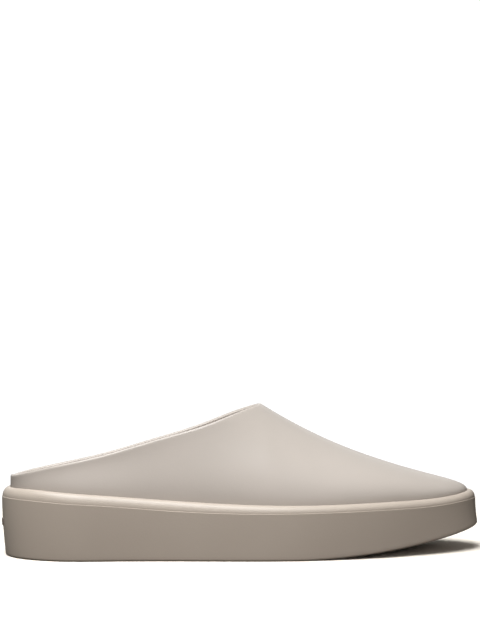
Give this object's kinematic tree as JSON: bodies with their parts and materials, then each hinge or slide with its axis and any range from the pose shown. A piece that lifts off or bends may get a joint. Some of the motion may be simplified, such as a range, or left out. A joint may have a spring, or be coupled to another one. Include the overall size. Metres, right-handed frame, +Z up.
{
  "type": "sneaker mule",
  "caption": "Slip-on mule of moulded foam with a thick plain sole, a rounded shoulder, a smooth seamless upper and a low heel collar; a right shoe.",
  "frame": {"origin": "centre of the bounding box in plan, on the floor the sole stands on", "axes": "+X from the heel to the toe, +Z up, +Y to the inner (medial) side; the outer side of this right shoe faces -Y"},
  "size_m": [0.3026, 0.1036, 0.0926],
  "materials": {
    "sole_foam": "matt moulded foam",
    "upper_foam": "satin moulded foam",
    "insole_foam": "matt moulded foam, finely textured",
    "badge_foam": "matt"
  },
  "bodies": {
    "root": {"sole": "sole_foam", "upper": "upper_foam", "insole": "insole_foam", "heel_badge": "badge_foam"}
  },
  "joints": []
}
